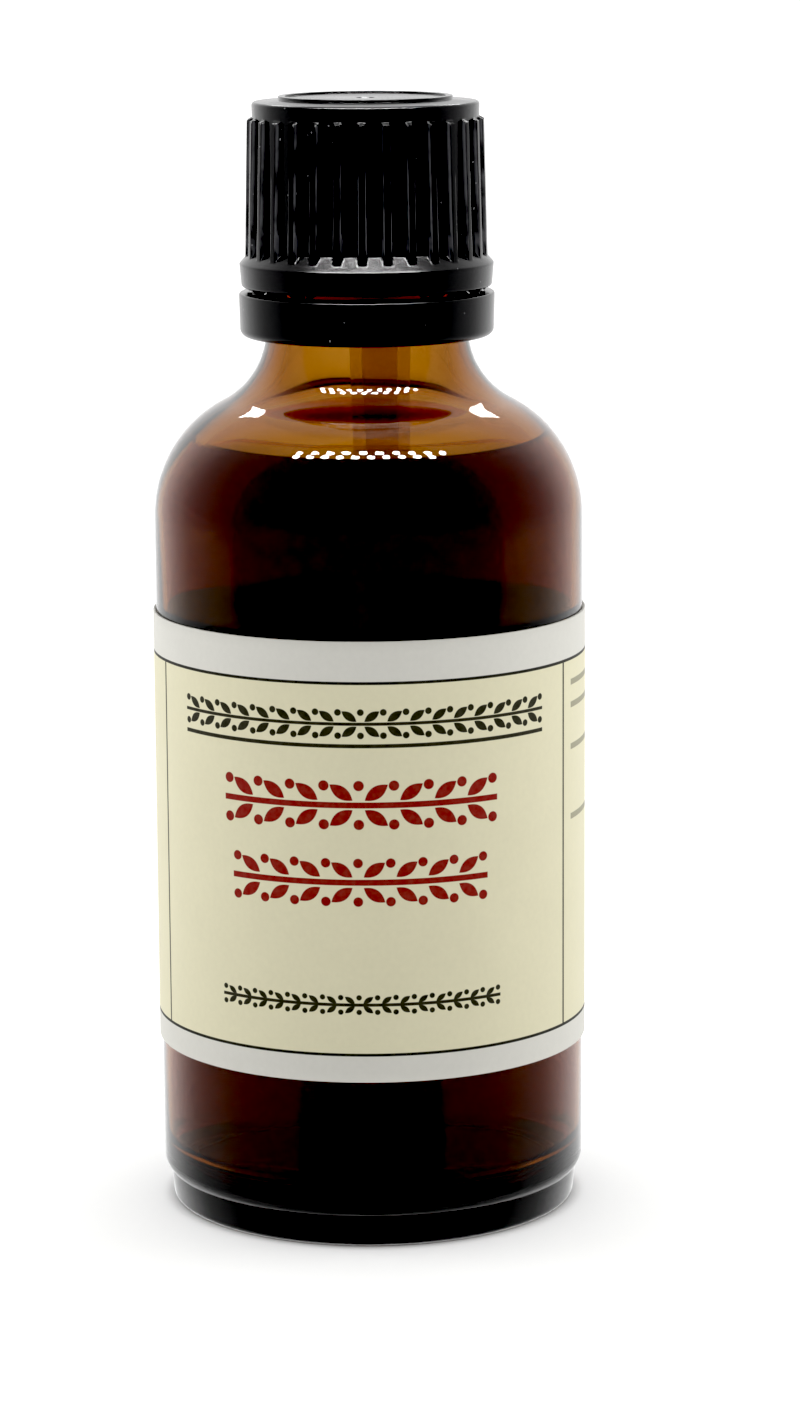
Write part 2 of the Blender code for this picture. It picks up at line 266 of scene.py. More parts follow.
class Nodes:
    """Writes a node tree: adds nodes, joins their sockets and does sums on them."""

    def __init__(self, tree: bpy.types.NodeTree) -> None:
        """Take the tree to write in."""
        self.tree = tree

    def add(self, kind: str, **settings: object) -> bpy.types.Node:
        """Add a node of a kind, with its settings."""
        node = self.tree.nodes.new(kind)
        for key, value in settings.items():
            setattr(node, key, value)
        return node

    def put(self, socket: bpy.types.NodeSocket, value: Value) -> None:
        """Give an input a fixed value, or join it to another node's output."""
        if isinstance(value, bpy.types.NodeSocket):
            self.tree.links.new(value, socket)
        else:
            socket.default_value = value

    def maths(self, operation: str, *values: Value, clamp: bool = False) -> bpy.types.NodeSocket:
        """One sum on one to three values, given as Blender names it."""
        node = self.add("ShaderNodeMath", operation=operation, use_clamp=clamp)
        for socket, value in zip(node.inputs, values):
            self.put(socket, value)
        return node.outputs[0]

    def rise(self, value: Value, low: Value, high: Value) -> bpy.types.NodeSocket:
        """A smooth rise from 0 at low to 1 at high."""
        node = self.add("ShaderNodeMapRange", interpolation_type="SMOOTHSTEP")
        self.put(node.inputs["Value"], value)
        self.put(node.inputs["From Min"], low)
        self.put(node.inputs["From Max"], high)
        return node.outputs[0]

    def blend(self, share: Value, first: object, second: object) -> bpy.types.NodeSocket:
        """A colour between two others."""
        node = self.add("ShaderNodeMix", data_type="RGBA")
        self.put(node.inputs[0], share)
        for socket, value in ((node.inputs[6], first), (node.inputs[7], second)):
            self.put(socket, (*value, 1.0) if isinstance(value, tuple) else value)
        return node.outputs[2]

    def places(self) -> bpy.types.NodeSocket:
        """The surface point in the bottle's own frame."""
        return self.add("ShaderNodeTexCoord").outputs["Object"]

    def split(self, vector: bpy.types.NodeSocket) -> list[bpy.types.NodeSocket]:
        """A vector's three parts."""
        node = self.add("ShaderNodeSeparateXYZ")
        self.put(node.inputs[0], vector)
        return list(node.outputs)

    def cloud(self, vector: Value, size: float, detail: float = 2.0) -> bpy.types.NodeSocket:
        """Noise from 0 to 1 whose blotches are about the given size across."""
        node = self.add("ShaderNodeTexNoise")
        self.put(node.inputs["Vector"], vector)
        node.inputs["Scale"].default_value = 1 / size
        node.inputs["Detail"].default_value = detail
        return node.outputs[0]

    def bump(self, height: Value, depth: float) -> bpy.types.NodeSocket:
        """A normal bent by a height map that is so deep from 0 to 1."""
        node = self.add("ShaderNodeBump")
        self.put(node.inputs["Height"], height)
        node.inputs["Distance"].default_value = depth
        return node.outputs[0]

    def principled(self, **values: object) -> bpy.types.Node:
        """A Principled shader with its inputs set, their names' spaces written as underscores."""
        node = self.add("ShaderNodeBsdfPrincipled")
        for key, value in values.items():
            if isinstance(value, tuple):
                value = (*value, 1.0)
            self.put(node.inputs[key.replace("_", " ")], value)
        return node

    def either(self, share: Value, first: bpy.types.Node, second: bpy.types.Node) -> bpy.types.Node:
        """One shader where share is 0 and the other where it is 1."""
        node = self.add("ShaderNodeMixShader")
        self.put(node.inputs[0], share)
        self.put(node.inputs[1], first.outputs[0])
        self.put(node.inputs[2], second.outputs[0])
        return node

    def absorb(self, loss: Colour) -> bpy.types.Node:
        """A volume that takes light away, by the loss of red, green and blue in each millimetre."""
        most = max(loss)
        node = self.add("ShaderNodeVolumeAbsorption")
        node.inputs["Color"].default_value = (*(1 - part / most for part in loss), 1.0)
        node.inputs["Density"].default_value = most / MM
        return node


def new_material(name: str) -> tuple[bpy.types.Material, Nodes]:
    """An empty node material and the pen that writes it."""
    material = bpy.data.materials.new(name)
    material.use_nodes = True
    material.node_tree.nodes.clear()
    return material, Nodes(material.node_tree)


def close(nodes: Nodes, surface: bpy.types.Node, volume: bpy.types.Node | None = None) -> None:
    """Join the surface, and the volume if there is one, to the material's output."""
    output = nodes.add("ShaderNodeOutputMaterial")
    nodes.put(output.inputs["Surface"], surface.outputs[0])
    if volume is not None:
        nodes.put(output.inputs["Volume"], volume.outputs[0])


@dataclass(frozen=True)
class AmberGlass:
    """Blown amber glass, slightly uneven, which bends light less where the liquid wets it."""

    ior: float = 1.52
    wet_ior: float = 1.42
    loss: Colour = (0.26, 0.46, 0.9)
    ripple_size: float = 6 * MM
    ripple_depth: float = 0.012 * MM
    seam_half_width: float = 0.12 * MM
    seam_depth: float = 0.03 * MM

    def material(self) -> bpy.types.Material:
        """Write the finish."""
        material, nodes = new_material("amber_glass_finish")
        place = nodes.places()
        _, y, _ = nodes.split(place)
        cloud = nodes.cloud(place, self.ripple_size, 1.0)
        ripple = nodes.maths("MULTIPLY", cloud, self.ripple_depth / MM)
        off_seam = nodes.rise(nodes.maths("ABSOLUTE", y), 0.0, self.seam_half_width)
        seam = nodes.maths("MULTIPLY", nodes.maths("SUBTRACT", 1.0, off_seam), self.seam_depth / MM)
        normal = nodes.bump(nodes.maths("ADD", ripple, seam), MM)
        clear = {"Base_Color": (1, 1, 1), "Roughness": 0.0, "Transmission_Weight": 1.0, "Normal": normal}
        dry = nodes.principled(IOR=self.ior, **clear)
        wet = nodes.principled(IOR=self.wet_ior, **clear)
        wetted = nodes.add("ShaderNodeAttribute", attribute_name="wetted").outputs["Fac"]
        close(nodes, nodes.either(wetted, dry, wet), nodes.absorb(self.loss))
        return material


@dataclass(frozen=True)
class DarkTincture:
    """A dark red-brown extract in spirit. Only its free surface bends light; its wall is the glass's."""

    ior: float = 1.36
    loss: Colour = (0.115, 0.43, 1.0)

    def material(self) -> bpy.types.Material:
        """Write the finish."""
        material, nodes = new_material("tincture_finish")
        clear = {"Base_Color": (1, 1, 1), "Roughness": 0.0, "Transmission_Weight": 1.0}
        wall = nodes.principled(IOR=1.0, **clear)
        surface = nodes.principled(IOR=self.ior, **clear)
        free = nodes.add("ShaderNodeAttribute", attribute_name="free_surface").outputs["Fac"]
        close(nodes, nodes.either(free, wall, surface), nodes.absorb(self.loss))
        return material


@dataclass(frozen=True)
class BlackPlastic:
    """Black moulded plastic with a fine matt grain and a little dust, and a painted highlight, in blotches,
    where it is marked worn.
    """

    name: str
    colour: Colour = (0.0045, 0.0045, 0.005)
    roughness: float = 0.22
    ior: float = 1.53
    grain_size: float = 0.12 * MM
    grain_depth: float = 0.004 * MM
    mottle_size: float = 0.5 * MM
    mottle_depth: float = 0.005 * MM
    dust_size: float = 0.35 * MM
    dust_edge: Point = (0.865, 0.88)
    dust_colour: Colour = (0.25, 0.25, 0.26)
    blotch_size: float = 3 * MM
    # painted highlight on the marked rib edges: the blotch edges where it shows, and its light colour
    highlight_blotch_edge: Point = (0.25, 0.6)
    edge_highlight_colour: Colour = (0.13, 0.13, 0.137)

    def material(self) -> bpy.types.Material:
        """Write the finish."""
        material, nodes = new_material(self.name)
        place = nodes.places()
        blotch = nodes.cloud(place, self.blotch_size, 3.0)
        rough = nodes.maths("MULTIPLY_ADD", blotch, 0.1, self.roughness - 0.05)
        specks = nodes.rise(nodes.cloud(place, self.dust_size, 0.0), *self.dust_edge)
        # painted highlight: a light colour laid in blotches where the worn attribute marks a rib edge
        worn = nodes.add("ShaderNodeAttribute", attribute_name="worn").outputs["Fac"]
        highlit_edge = nodes.maths("MULTIPLY", worn, nodes.rise(blotch, *self.highlight_blotch_edge))
        colour = nodes.blend(highlit_edge, self.colour, self.edge_highlight_colour)
        colour = nodes.blend(specks, colour, self.dust_colour)
        grain = nodes.cloud(place, self.grain_size, 2.0)
        mottle = nodes.cloud(place, self.mottle_size, 1.0)
        height = nodes.maths("MULTIPLY_ADD", mottle, self.mottle_depth / self.grain_depth, grain)
        shader = nodes.principled(
            Base_Color=colour, Roughness=rough, IOR=self.ior, Normal=nodes.bump(height, self.grain_depth)
        )
        close(nodes, shader)
        return material


@dataclass(frozen=True)
class MilkyPlastic:
    """Soft translucent plastic, as of a dropper insert, whose stem is stained by the liquid."""

    colour: Colour = (0.8, 0.77, 0.7)
    roughness: float = 0.35
    clearness: float = 0.55
    stain: Colour = (0.8, 0.68, 0.75)
    stain_roughness: float = 0.08
    stain_ior: float = 1.03
    stain_clearness: float = 0.92
    stain_low_z: float = 82.5 * MM
    stain_high_z: float = 85.5 * MM

    def material(self) -> bpy.types.Material:
        """Write the finish."""
        material, nodes = new_material("insert_finish")
        place = nodes.places()
        cloud = nodes.cloud(place, 1.5 * MM, 3.0)
        colour = nodes.blend(cloud, self.colour, tuple(part * 0.92 for part in self.colour))
        normal = nodes.bump(nodes.cloud(place, 0.3 * MM, 2.0), 0.01 * MM)
        milky = nodes.principled(
            Base_Color=colour,
            Roughness=self.roughness,
            Transmission_Weight=self.clearness,
            IOR=1.5,
            Normal=normal,
        )
        stained = nodes.principled(
            Base_Color=self.stain,
            Roughness=self.stain_roughness,
            Transmission_Weight=self.stain_clearness,
            IOR=self.stain_ior,
            Normal=normal,
        )
        clean_share = nodes.rise(nodes.split(place)[2], self.stain_low_z, self.stain_high_z)
        close(nodes, nodes.either(clean_share, stained, milky))
        return material


@dataclass(frozen=True)
class WhiteFoam:
    """Foamed sealing material with fine open cells, painted darker in their pits as shade."""

    colour: Colour = (0.82, 0.82, 0.8)
    cell_size: float = 0.25 * MM
    cell_depth: float = 0.04 * MM

    def material(self) -> bpy.types.Material:
        """Write the finish."""
        material, nodes = new_material("foam_finish")
        place = nodes.places()
        cells = nodes.add("ShaderNodeTexVoronoi")
        nodes.put(cells.inputs["Vector"], place)
        cells.inputs["Scale"].default_value = 1 / self.cell_size
        depth = cells.outputs["Distance"]
        # painted shade: the colour is darker in the cells' pits
        shade = tuple(part * 0.85 for part in self.colour)
        shader = nodes.principled(
            Base_Color=nodes.blend(depth, shade, self.colour),
            Roughness=0.75,
            Normal=nodes.bump(depth, self.cell_depth),
        )
        close(nodes, shader)
        return material


@dataclass(frozen=True)
class Sprig:
    """A band of ornament: a stem with leaf pairs that point away from the middle, and a berry between pairs.

    Lengths along the label are measured round the bottle from the label's front line, in metres.
    """

    middle: float
    half_length: float
    height: float
    half_height: float
    pitch: float
    lean: float = 35.0
    leaf_length: float = 0.8
    leaf_width: float = 0.36
    stem_half_width: float = 0.14 * MM
    berry: float = 0.15


@dataclass(frozen=True)
class PrintedPaper:
    """Satin label paper: white margins, a cream panel, ruled lines and bands of leaf ornament.

    A rule on a side panel is the angles in degrees where it starts and stops, and its height.
    """

    radius: float
    white: Colour = (0.665, 0.655, 0.605)
    cream: Colour = (0.72, 0.685, 0.495)
    line_ink: Colour = (0.012, 0.013, 0.01)
    grey_ink: Colour = (0.02, 0.02, 0.014)
    red_ink: Colour = (0.24, 0.01, 0.012)
    side_ink_share: float = 0.55
    line_half_width: float = 0.13 * MM
    top_line: float = 49.68 * MM
    low_line: float = 17.39 * MM
    left_line: float = -67.6
    right_line: float = 62.5
    edge: float = 0.04 * MM
    underline: float = 44.3 * MM
    underline_half_width: float = 0.17 * MM
    heading: Sprig = Sprig(-0.5 * MM, 17.6 * MM, 46.2 * MM, 1.25 * MM, 1.92 * MM)
    title_top: Sprig = Sprig(
        -0.7 * MM, 12.4 * MM, 39.2 * MM, 2.1 * MM, 2.98 * MM, stem_half_width=0.26 * MM
    )
    title_low: Sprig = Sprig(
        -0.8 * MM, 11.5 * MM, 32.5 * MM, 2.1 * MM, 2.76 * MM, stem_half_width=0.26 * MM
    )
    footer: Sprig = Sprig(
        -0.8 * MM, 12.8 * MM, 21.8 * MM, 0.8 * MM, 1.567 * MM, leaf_length=0.66, leaf_width=0.3
    )
    side_rules: tuple[tuple[float, float, float], ...] = (
        (67.4, 100.0, 47.6 * MM),
        (67.4, 92.0, 45.6 * MM),
        (67.4, 102.0, 41.9 * MM),
        (67.4, 96.0, 35.7 * MM),
        (-112.0, -86.0, 41.0 * MM),
        (-108.0, -86.0, 34.0 * MM),
    )
    side_rule_half_width: float = 0.26 * MM
    fibre_size: float = 0.5 * MM
    fibre_depth: float = 0.008 * MM
    mottle_size: float = 6 * MM
    ink_wear: float = 0.07

    def within(self, nodes: Nodes, value: Value, middle: float, half: float) -> bpy.types.NodeSocket:
        """1 where a value is within half of the middle, with a soft edge."""
        off = nodes.maths("ABSOLUTE", nodes.maths("SUBTRACT", value, middle))
        return nodes.maths("SUBTRACT", 1.0, nodes.rise(off, half - self.edge / 2, half + self.edge / 2))

    def sprig(self, nodes: Nodes, along: Value, up: Value, band: Sprig) -> bpy.types.NodeSocket:
        """Write one band of ornament.

        Args:
            nodes: the material's pen.
            along: the way round the bottle from the label's front line.
            up: the height.
            band: the band's place and shape.

        Returns:
            1 on the ink and 0 off it.
        """
        away = nodes.maths("ABSOLUTE", nodes.maths("SUBTRACT", along, band.middle))
        share = nodes.maths("DIVIDE", away, band.pitch)
        cell = nodes.maths("SUBTRACT", nodes.maths("FRACT", share), 0.5)
        off = nodes.maths("DIVIDE", nodes.maths("SUBTRACT", up, band.height), band.pitch)
        side = nodes.maths("ABSOLUTE", off)
        lean = math.radians(band.lean)
        reach = band.half_height / band.pitch
        down = nodes.maths("SUBTRACT", side, reach * 0.52)
        length = nodes.maths(
            "MULTIPLY_ADD", cell, math.cos(lean), nodes.maths("MULTIPLY", down, math.sin(lean))
        )
        width = nodes.maths(
            "MULTIPLY_ADD", cell, -math.sin(lean), nodes.maths("MULTIPLY", down, math.cos(lean))
        )
        half = band.leaf_length / 2
        taper = nodes.maths("POWER", nodes.maths("DIVIDE", length, half), 2.0)
        blade = nodes.maths("MULTIPLY", nodes.maths("SUBTRACT", 1.0, taper), band.leaf_width / 2)
        soft = self.edge / band.pitch / 2
        gap = nodes.maths("SUBTRACT", nodes.maths("ABSOLUTE", width), blade)
        leaf = nodes.maths("SUBTRACT", 1.0, nodes.rise(gap, -soft, soft))
        nearest = nodes.maths("SUBTRACT", nodes.maths("ABSOLUTE", cell), 0.5)
        far = nodes.maths(
            "SQRT",
            nodes.maths(
                "ADD",
                nodes.maths("POWER", nearest, 2.0),
                nodes.maths("POWER", nodes.maths("SUBTRACT", side, reach * 0.8), 2.0),
            ),
        )
        berry = nodes.maths("SUBTRACT", 1.0, nodes.rise(far, band.berry - soft, band.berry + soft))
        stem = self.within(nodes, up, band.height, band.stem_half_width)
        ink = nodes.maths("MAXIMUM", nodes.maths("MAXIMUM", leaf, berry), stem)
        return nodes.maths("MULTIPLY", ink, self.within(nodes, away, 0.0, band.half_length))

    def material(self) -> bpy.types.Material:
        """Write the finish."""
        material, nodes = new_material("label_finish")
        place = nodes.places()
        x, y, z = nodes.split(place)
        angle = nodes.maths("ARCTAN2", x, nodes.maths("MULTIPLY", y, -1.0))
        along = nodes.maths("MULTIPLY", angle, self.radius)
        panel = self.within(
            nodes, z, (self.top_line + self.low_line) / 2, (self.top_line - self.low_line) / 2
        )
        fibres = nodes.cloud(place, self.fibre_size, 4.0)
        mottle = nodes.cloud(place, self.mottle_size, 2.0)
        paper = nodes.blend(panel, self.white, self.cream)
        tone = nodes.maths("MULTIPLY_ADD", fibres, 0.07, nodes.maths("MULTIPLY_ADD", mottle, 0.05, 0.93))
        tinted = nodes.add("ShaderNodeVectorMath", operation="SCALE")
        nodes.put(tinted.inputs[0], paper)
        nodes.put(tinted.inputs["Scale"], tone)
        lines = nodes.maths(
            "MAXIMUM",
            self.within(nodes, z, self.top_line, self.line_half_width),
            self.within(nodes, z, self.low_line, self.line_half_width),
        )
        for degrees in (self.left_line, self.right_line):
            upright = self.within(
                nodes, along, math.radians(degrees) * self.radius, self.line_half_width
            )
            lines = nodes.maths("MAXIMUM", lines, nodes.maths("MULTIPLY", upright, panel))
        under = nodes.maths(
            "MULTIPLY",
            self.within(nodes, z, self.underline, self.underline_half_width),
            self.within(nodes, along, self.heading.middle, self.heading.half_length),
        )
        grey = nodes.maths("MAXIMUM", self.sprig(nodes, along, z, self.heading), under)
        grey = nodes.maths("MAXIMUM", grey, self.sprig(nodes, along, z, self.footer))
        for start, stop, height in self.side_rules:
            middle = math.radians(start + stop) / 2 * self.radius
            half = math.radians(stop - start) / 2 * self.radius
            rule = nodes.maths(
                "MULTIPLY",
                self.within(nodes, along, middle, half),
                self.within(nodes, z, height, self.side_rule_half_width),
            )
            grey = nodes.maths("MAXIMUM", grey, nodes.maths("MULTIPLY", rule, self.side_ink_share))
        red = nodes.maths(
            "MAXIMUM",
            self.sprig(nodes, along, z, self.title_top),
            self.sprig(nodes, along, z, self.title_low),
        )
        worn = nodes.maths("MULTIPLY_ADD", fibres, -self.ink_wear, 1.0)
        colour = tinted.outputs[0]
        for ink, tint in ((lines, self.line_ink), (grey, self.grey_ink), (red, self.red_ink)):
            colour = nodes.blend(nodes.maths("MULTIPLY", ink, worn), colour, tint)
        height = nodes.maths("MULTIPLY_ADD", mottle, 2.0, fibres)
        shader = nodes.principled(
            Base_Color=colour,
            Roughness=nodes.maths("MULTIPLY_ADD", fibres, 0.2, 0.45),
            IOR=1.4,
            Normal=nodes.bump(height, self.fibre_depth),
        )
        close(nodes, shader)
        return material


@dataclass(frozen=True)
class PaleFloor:
    """A matt white board with painted light: it glows more the farther it is from the bottle, and not at all
    under it, which paints shade round the bottle's base.
    """

    colour: Colour = (0.92, 0.92, 0.915)
    near_glow: float = 0.36
    far_glow: float = 0.56
    near: float = 0.02
    far: float = 0.08
    covered: tuple[float, float] = (17.2 * MM, 19.2 * MM)

    def material(self) -> bpy.types.Material:
        """Write the finish."""
        material, nodes = new_material("floor_finish")
        place = nodes.places()
        cloud = nodes.cloud(place, 0.15, 2.0)
        colour = nodes.blend(cloud, self.colour, tuple(part * 0.985 for part in self.colour))
        reach = nodes.add("ShaderNodeVectorMath", operation="LENGTH")
        nodes.put(reach.inputs[0], place)
        # painted shade round the base: the glow falls to near_glow close to the bottle and to nothing under
        # it
        share = nodes.rise(reach.outputs["Value"], self.near, self.far)
        glow = nodes.maths("MULTIPLY_ADD", share, self.far_glow - self.near_glow, self.near_glow)
        glow = nodes.maths("MULTIPLY", glow, nodes.rise(reach.outputs["Value"], *self.covered))
        shader = nodes.principled(
            Base_Color=colour,
            Roughness=0.9,
            Specular_IOR_Level=0.0,
            Emission_Color=(1.0, 1.0, 1.0),
            Emission_Strength=glow,
        )
        close(nodes, shader)
        return material


@dataclass
class GlassBottle:
    """The bottle's glass: foot, heel, body, shoulder, neck, bead, thread and mouth."""

    body_r: float = 18.75 * MM
    wall: float = 2.0 * MM
    shoulder_r: float = 11.19 * MM
    shoulder_z: float = 61.46 * MM
    shoulder_slope: float = 61.64
    throat_r: float = 7.2 * MM
    throat_z: float = 77.81 * MM
    neck_r: float = 8.79 * MM
    heel_r: float = 1.6 * MM
    heel_z: float = 3.96 * MM
    heel_angle: float = 48.6
    foot_top: Point = (18.12 * MM, 2.72 * MM)
    foot_ledge: float = 0.7 * MM
    foot_side_r: float = 17.95 * MM
    foot_fillet: float = 0.55 * MM
    rest_r: float = 16.0 * MM
    punt_z: float = 1.6 * MM
    floor_z: float = 4.0 * MM
    floor_edge_z: float = 3.4 * MM
    floor_fillet: float = 3.2 * MM
    bead_r: float = 9.55 * MM
    bead_low_z: float = 79.3 * MM
    bead_high_z: float = 80.4 * MM
    bead_slope_z: float = 81.3 * MM
    bead_fillet: float = 0.35 * MM
    finish_r: float = 7.85 * MM
    mouth_z: float = 92.0 * MM
    lip_fillet: float = 0.5 * MM
    bore_r: float = 5.3 * MM
    bore_low_z: float = 83.5 * MM
    flare_z: float = 80.0 * MM
    pitch: float = 3.0 * MM
    thread_turns: float = 1.5
    thread_z: float = 83.3 * MM
    thread_r: float = 8.75 * MM
    thread_root: float = 1.4 * MM
    thread_crest: float = 0.6 * MM
    thread_runout: float = 30.0
    thread_rows: float = 0.1 * MM
    unevenness: float = 0.12 * MM
    uneven_size: float = 7 * MM
    sides: int = 192

    def shoulder(self, offset: float, steps: int) -> list[Point]:
        """The neck's hollow and the shoulder's round, from the neck down, set in by an offset."""
        turn = 180 + self.shoulder_slope
        hollow = arc(
            (self.neck_r + self.throat_r, self.throat_z), self.throat_r + offset, 180, turn, steps
        )
        round_off = arc(
            (self.body_r - self.shoulder_r, self.shoulder_z),
            self.shoulder_r - offset,
            self.shoulder_slope,
            0,
            steps,
        )
        return hollow + round_off

    def outside(self) -> list[Point]:
        """The outer outline, from the middle of the base up to the mouth."""
        punt = [(self.rest_r * i / 8, self.punt_z * (1 - (i / 8) ** 2.6)) for i in range(8)]
        side = self.foot_side_r - self.foot_fillet
        rest = [(self.rest_r, 0.0), *arc((side, self.foot_fillet), self.foot_fillet, -90, 0, 8)]
        foot_r, foot_z = self.foot_top
        ledge = [(foot_r, foot_z - self.foot_ledge), (foot_r, foot_z)]
        heel = arc((self.body_r - self.heel_r, self.heel_z), self.heel_r, -self.heel_angle, 0, 10)
        bead_centre = (self.bead_r - self.bead_fillet, self.bead_low_z + self.bead_fillet)
        bead = [
            (self.neck_r, self.bead_low_z),
            *arc(bead_centre, self.bead_fillet, -90, 0, 5),
            (self.bead_r, self.bead_high_z),
        ]
        low, high = self.bead_slope_z, self.mouth_z - self.lip_fillet
        rows = round((high - low) / self.thread_rows)
        finish = steps_between((self.finish_r, low), (self.finish_r, high), rows)
        lip = arc((self.finish_r - self.lip_fillet, high), self.lip_fillet, 0, 90, 6)
        return punt + rest + ledge + heel + self.shoulder(0.0, 28)[::-1] + bead + finish + lip

    def inside(self, offset: float = 0.0) -> list[Point]:
        """The inner outline, from the bore down to the middle of the floor, set in by an offset."""
        wall = self.body_r - self.wall
        bore = [
            (self.bore_r - offset, self.bore_low_z),
            (self.neck_r - self.wall - offset, self.flare_z),
        ]
        flare = steps_between(bore[0], bore[1], 8)
        corner = arc(
            (wall - self.floor_fillet, self.floor_edge_z + self.floor_fillet),
            self.floor_fillet - offset,
            0,
            -90,
            12,
        )
        sides = self.shoulder(self.wall + offset, 28)
        low, high = corner[0], sides[-1]
        straight = steps_between(high, low, 12)[1:]
        middle = [(self.bore_r, self.floor_z - 0.15 * MM + offset), (0.0, self.floor_z + offset)]
        return flare + sides + straight + corner + middle

    def ridge(self, angle: float, radius: float, height: float) -> float:
        """The radius of the finish at an angle and height, with the thread on it."""
        if abs(radius - self.finish_r) > WELD or not self.bead_slope_z < height < self.mouth_z:
            return radius
        reach = 0.0
        along = angle % 360.0
        while along <= 360 * self.thread_turns:
            off = abs(height - self.thread_z - self.pitch * along / 360)
            last = 360 * self.thread_turns - along
            fade = min(1.0, along / self.thread_runout, last / self.thread_runout)
            crest = 1 - smooth(off, self.thread_crest / 2, self.thread_root / 2)
            reach = max(reach, crest * fade)
            along += 360.0
        return radius + (self.thread_r - self.finish_r) * reach

    def roughen(self, bm: bmesh.types.BMesh) -> None:
        """Make the inner wall a little uneven, as blown glass is. The outside keeps its shape."""
        middle = Vector((0, 0, self.shoulder_z / 2))
        for vert in bm.verts:
            outward = (vert.co - middle).dot(vert.normal)
            if outward < 0 and vert.co.z < self.flare_z:
                vert.co += vert.normal * noise.noise(vert.co / self.uneven_size) * self.unevenness

    def build(self, level: float) -> bpy.types.Object:
        """Model and dress the glass.

        Args:
            level: the height of the liquid inside.

        Returns:
            The glass.
        """
        mouth = arc(
            (self.bore_r + self.lip_fillet, self.mouth_z - self.lip_fillet), self.lip_fillet, 90, 180, 6
        )
        bm = turned(self.outside() + mouth + self.inside(), self.sides)
        push(bm, self.ridge)
        bm.normal_update()
        self.roughen(bm)
        obj = as_object("glass_bottle", bm, 40)
        skin = self.wall * 0.8

        def is_wetted(place: Vector) -> bool:
            """Whether a point is on the inner wall below the liquid's level."""
            inner = self.inner_r(place.z) + skin / 2
            low = place.z > self.punt_z + skin / 2
            return low and place.z < level and place.xy.length < inner

        mark(obj, "wetted", is_wetted)
        return set_up(obj, AmberGlass().material(), Body.VESSEL, Slot.GLASS, "bottle_glass")

    def inner_r(self, height: float) -> float:
        """The radius of the inner wall at a height in the body or shoulder."""
        reach = self.shoulder_r - self.wall
        rise = min(max(height - self.shoulder_z, 0.0) / reach, 1.0)
        return self.body_r - self.shoulder_r + reach * math.sqrt(1 - rise * rise)


@dataclass
class Tincture:
    """The liquid, up to its level, with a small rise where it meets the wall."""

    glass: GlassBottle
    level: float = 67.5 * MM
    overlap: float = 0.05 * MM
    meniscus: float = 0.2 * MM
    meniscus_reach: float = 1.0 * MM
    sides: int = 192

    def build(self, stem: "DropperInsert") -> bpy.types.Object:
        """Model and dress the liquid, with a slot for the stem that dips into it.

        Args:
            stem: the insert whose stem dips into the liquid.

        Returns:
            The liquid.
        """
        wall = [
            (r, z) for r, z in self.glass.inside(-self.overlap) if z < self.level + self.meniscus / 3
        ]
        rim_r = self.glass.inner_r(self.level + self.meniscus) + self.overlap
        start_r = rim_r - self.meniscus_reach
        curve = [
            (start_r + self.meniscus_reach * i / 8, self.level + self.meniscus * (i / 8) ** 3)
            for i in range(9)
        ]
        flat = steps_between((0.0, self.level), (start_r, self.level), 6)
        bm = turned(flat + curve + wall, self.sides)
        obj = as_object("tincture_fill", bm, 40)
        slot = turned(
            [
                (stem.stem_bore_r, stem.stem_low_z),
                (stem.stem_r, stem.stem_low_z),
                (stem.stem_r, self.level + MM),
                (stem.stem_bore_r, self.level + MM),
            ],
            48,
            closed=True,
        )
        bmesh.ops.translate(slot, verts=slot.verts, vec=(stem.stem_x, 0, 0))
        cut(obj, [("DIFFERENCE", slot)], 40)
        mark(obj, "free_surface", lambda place: place.z > self.level - 0.001 * MM)
        return set_up(obj, DarkTincture().material(), Body.VESSEL, Slot.TINCTURE, "tincture")


